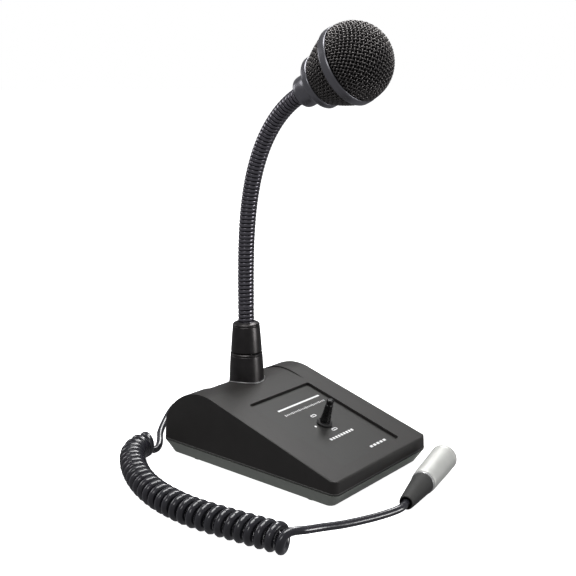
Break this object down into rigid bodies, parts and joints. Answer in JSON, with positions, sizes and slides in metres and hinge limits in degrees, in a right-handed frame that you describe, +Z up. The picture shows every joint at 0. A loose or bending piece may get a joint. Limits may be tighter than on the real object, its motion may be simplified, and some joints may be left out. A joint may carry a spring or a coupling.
{
  "type": "desk paging microphone",
  "caption": "Desk paging microphone: sloped base with a toggle switch, gooseneck, round wire-grille head, curly cord and three-pin plug.",
  "frame": {"origin": "on the desk, under the middle of the base", "axes": "+Z up, -Y towards the user, +X to the user's right"},
  "size_m": [0.1894, 0.2294, 0.3073],
  "materials": {
    "cover_paint": "dark grey textured paint",
    "tray_plastic": "grey satin plastic",
    "dark_metal": "dark grey satin metal",
    "ring_metal": "grey satin metal",
    "black_plastic": "black moulded plastic",
    "black_rubber": "matt black rubber",
    "bright_steel": "bright steel",
    "satin_silver": "satin nickel",
    "board_green": "green board",
    "brass": "tinned brass",
    "grey_foam": "open-cell foam",
    "cord_jacket": "glossy black cord jacket"
  },
  "bodies": {
    "base": {"top_cover": "cover_paint", "panel_plate": "cover_paint", "base_tray": "tray_plastic", "ballast_plate": "dark_metal", "circuit_board": "board_green", "terminal_block": "black_plastic", "cord_clamp": "black_plastic", "strain_relief": "black_rubber", "case_screw_1": "dark_metal", "case_screw_2": "dark_metal", "case_screw_3": "dark_metal", "case_screw_4": "dark_metal", "foot_1": "black_rubber", "foot_2": "black_rubber", "foot_3": "black_rubber", "foot_4": "black_rubber", "switch_nut": "black_plastic", "switch_bushing": "dark_metal", "switch_body": "black_plastic", "switch_terminal_1": "brass", "switch_terminal_2": "brass", "switch_terminal_3": "brass", "lower_collar": "dark_metal", "upper_collar": "dark_metal", "neck_stem": "bright_steel", "neck_washer": "bright_steel", "neck_nut": "bright_steel", "gooseneck_root": "dark_metal", "cord_lead": "cord_jacket", "curly_coil": "cord_jacket", "cord_tail": "cord_jacket", "plug_boot": "black_rubber", "plug_ring": "bright_steel", "plug_shell": "satin_silver", "plug_insert": "black_plastic", "plug_pin_1": "satin_silver", "plug_pin_2": "satin_silver", "plug_pin_3": "satin_silver"},
    "toggle": {"switch_lever": "black_plastic", "lever_pin": "bright_steel"},
    "neck_1": {"gooseneck_segment_1": "dark_metal"},
    "neck_2": {"gooseneck_segment_2": "dark_metal"},
    "neck_3": {"gooseneck_segment_3": "dark_metal"},
    "neck_4": {"gooseneck_segment_4": "dark_metal"},
    "neck_5": {"gooseneck_segment_5": "dark_metal"},
    "neck_6": {"gooseneck_segment_6": "dark_metal"},
    "neck_7": {"gooseneck_segment_7": "dark_metal"},
    "neck_8": {"gooseneck_segment_8": "dark_metal"},
    "neck_9": {"gooseneck_segment_9": "dark_metal"},
    "head": {"gooseneck_tip": "dark_metal", "head_ferrule": "ring_metal", "head_stud": "bright_steel", "flange_ring": "ring_metal", "rear_grille": "dark_metal", "band_ring": "ring_metal", "front_grille": "dark_metal", "foam_liner": "grey_foam", "capsule": "bright_steel", "capsule_mount": "black_rubber"}
  },
  "joints": [
    {"name": "toggle_tilt", "type": "hinge", "parent": "base", "child": "toggle", "pos_m": [0, -0.02946, 0.03483], "axis": [1, 0, 0], "range_deg": [-12, 12]},
    {"name": "neck_nod_1", "type": "hinge", "parent": "base", "child": "neck_1", "pos_m": [0, 0.04525, 0.0972], "axis": [0.9999, 0.0073, 0.0075], "range_deg": [-10, 13]},
    {"name": "neck_lean_1", "type": "hinge", "parent": "neck_1", "child": "neck_2", "pos_m": [0, 0.04523, 0.1154], "axis": [0.0105, 0.9998, 0.0145], "range_deg": [-9, 9]},
    {"name": "neck_nod_2", "type": "hinge", "parent": "neck_2", "child": "neck_3", "pos_m": [0, 0.04503, 0.1336], "axis": [0.9999, 0.0071, 0.0077], "range_deg": [-10, 13]},
    {"name": "neck_lean_2", "type": "hinge", "parent": "neck_3", "child": "neck_4", "pos_m": [0, 0.0444, 0.15179], "axis": [0.0105, 0.9979, 0.0636], "range_deg": [-9, 9]},
    {"name": "neck_nod_3", "type": "hinge", "parent": "neck_4", "child": "neck_5", "pos_m": [0, 0.04296, 0.16993], "axis": [0.9999, 0.0064, 0.0083], "range_deg": [-10, 13]},
    {"name": "neck_lean_3", "type": "hinge", "parent": "neck_5", "child": "neck_6", "pos_m": [0, 0.04029, 0.18793], "axis": [0.0105, 0.9797, 0.2003], "range_deg": [-9, 9]},
    {"name": "neck_nod_4", "type": "hinge", "parent": "neck_6", "child": "neck_7", "pos_m": [0, 0.03587, 0.20557], "axis": [0.9999, 0.0047, 0.0094], "range_deg": [-10, 13]},
    {"name": "neck_lean_4", "type": "hinge", "parent": "neck_7", "child": "neck_8", "pos_m": [0, 0.02921, 0.22249], "axis": [0.0105, 0.895, 0.4459], "range_deg": [-9, 9]},
    {"name": "neck_nod_5", "type": "hinge", "parent": "neck_8", "child": "neck_9", "pos_m": [0, 0.01985, 0.23807], "axis": [0.9999, 0.0014, 0.0104], "range_deg": [-10, 13]},
    {"name": "neck_lean_5", "type": "hinge", "parent": "neck_9", "child": "head", "pos_m": [0, 0.00752, 0.2514], "axis": [0.0105, 0.6417, 0.7669], "range_deg": [-9, 9]}
  ],
  "couplings": [
    {"joint": "neck_nod_2", "follows": "neck_nod_1", "ratio": 1},
    {"joint": "neck_lean_2", "follows": "neck_lean_1", "ratio": 1},
    {"joint": "neck_nod_3", "follows": "neck_nod_1", "ratio": 1},
    {"joint": "neck_lean_3", "follows": "neck_lean_1", "ratio": 1},
    {"joint": "neck_nod_4", "follows": "neck_nod_1", "ratio": 1},
    {"joint": "neck_lean_4", "follows": "neck_lean_1", "ratio": 1},
    {"joint": "neck_nod_5", "follows": "neck_nod_1", "ratio": 1},
    {"joint": "neck_lean_5", "follows": "neck_lean_1", "ratio": 1}
  ]
}
